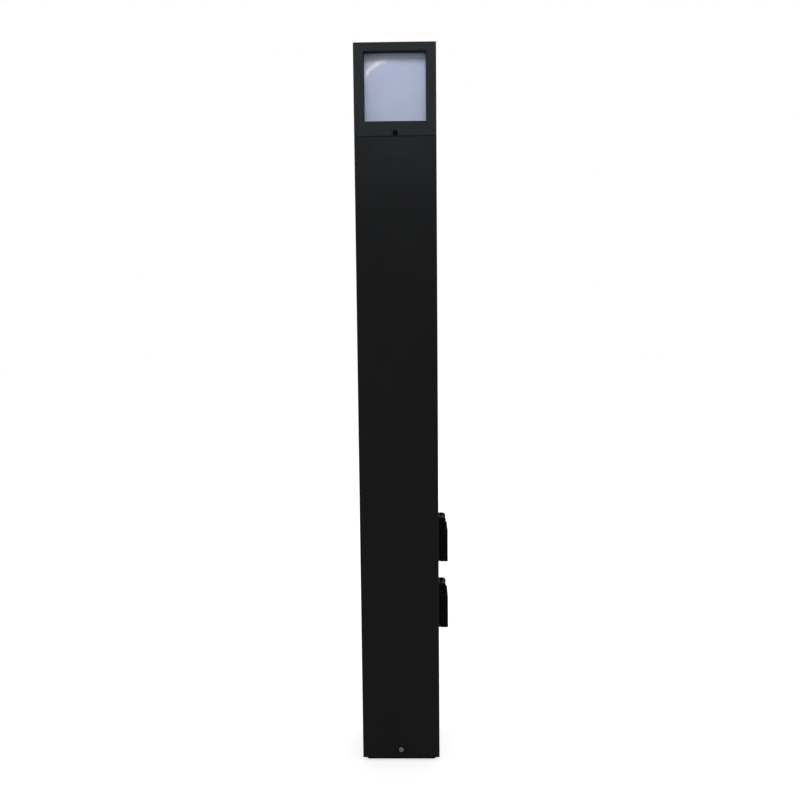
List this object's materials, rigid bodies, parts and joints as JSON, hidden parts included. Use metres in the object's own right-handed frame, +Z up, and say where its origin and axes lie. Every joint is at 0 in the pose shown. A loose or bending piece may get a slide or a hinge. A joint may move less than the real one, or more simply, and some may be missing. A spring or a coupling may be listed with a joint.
{
  "type": "garden socket post",
  "caption": "Square garden post with a framed lamp head on top and lidded earthed sockets on its side, on a bolted foot.",
  "frame": {"origin": "centre of the foot plate's underside, on the ground", "axes": "+Z up along the column, -Y out of the lamp's window, +X out of the sockets"},
  "size_m": [0.1237, 0.1144, 1],
  "materials": {
    "anthracite_coat": "matte",
    "black_casting": "matte",
    "black_plastic": "matte",
    "well_plastic": "satin",
    "black_rubber": "matte",
    "grey_rubber": "matte",
    "opal_plastic": "gloss",
    "stainless_steel": "satin",
    "black_steel": "satin",
    "zinc_steel": "satin",
    "spring_steel": "polished",
    "brass": "satin",
    "nickel": "polished",
    "white_plastic": "satin",
    "grey_plastic": "matte",
    "board_white": "satin",
    "chip_yellow": "gloss",
    "live_brown": "satin",
    "neutral_blue": "satin",
    "earth_green": "satin",
    "led_wire_white": "satin"
  },
  "bodies": {
    "post": {"foot_plate": "black_casting", "cable_grommet": "black_rubber", "column_tube": "anthracite_coat", "column_screws": "stainless_steel", "terminal_bracket": "zinc_steel", "terminal_bracket_screws": "stainless_steel", "terminal_block": "white_plastic", "terminal_barrels": "brass", "clamp_screws": "nickel", "terminal_block_screws": "stainless_steel", "earth_stud": "zinc_steel", "earth_nuts": "stainless_steel", "earth_lug": "nickel", "live_wires": "live_brown", "neutral_wires": "neutral_blue", "earth_wires": "earth_green", "cable_clips": "white_plastic", "head_carrier": "black_casting", "carrier_screws": "stainless_steel", "lead_bush": "grey_rubber", "head_housing": "anthracite_coat", "head_screws": "black_steel", "diffuser_gasket": "black_rubber", "diffuser": "opal_plastic", "diffuser_frame": "zinc_steel", "diffuser_screws": "stainless_steel", "led_bracket": "zinc_steel", "led_bracket_screws": "stainless_steel", "led_board": "board_white", "led_chips": "chip_yellow", "led_board_screws": "stainless_steel", "led_driver": "white_plastic", "driver_screws": "stainless_steel", "led_wires": "led_wire_white", "upper_gasket": "black_rubber", "upper_socket_body": "well_plastic", "upper_contact_carrier": "grey_plastic", "upper_pin_contacts": "brass", "upper_earth_clip": "nickel", "upper_terminal_screws": "stainless_steel", "upper_carrier_fix_screws": "stainless_steel", "upper_flange_screws": "black_steel", "upper_hinge_pin": "black_steel", "upper_lid_spring": "spring_steel", "lower_gasket": "black_rubber", "lower_socket_body": "well_plastic", "lower_contact_carrier": "grey_plastic", "lower_pin_contacts": "brass", "lower_earth_clip": "nickel", "lower_terminal_screws": "stainless_steel", "lower_carrier_fix_screws": "stainless_steel", "lower_flange_screws": "black_steel", "lower_hinge_pin": "black_steel", "lower_lid_spring": "spring_steel"},
    "upper_lid": {"upper_lid": "black_plastic", "upper_lid_seal": "black_rubber"},
    "lower_lid": {"lower_lid": "black_plastic", "lower_lid_seal": "black_rubber"}
  },
  "joints": [
    {"name": "upper_lid_hinge", "type": "hinge", "parent": "post", "child": "upper_lid", "pos_m": [0.0619, 0, 0.3444], "axis": [0, -1, 0], "range_deg": [0, 110], "stiffness_Nm_per_rad": 0.008, "springref_deg": -28.65, "deforming": ["upper_lid_spring"]},
    {"name": "lower_lid_hinge", "type": "hinge", "parent": "post", "child": "lower_lid", "pos_m": [0.0619, 0, 0.2464], "axis": [0, -1, 0], "range_deg": [0, 110], "stiffness_Nm_per_rad": 0.008, "springref_deg": -28.65, "deforming": ["lower_lid_spring"]}
  ]
}
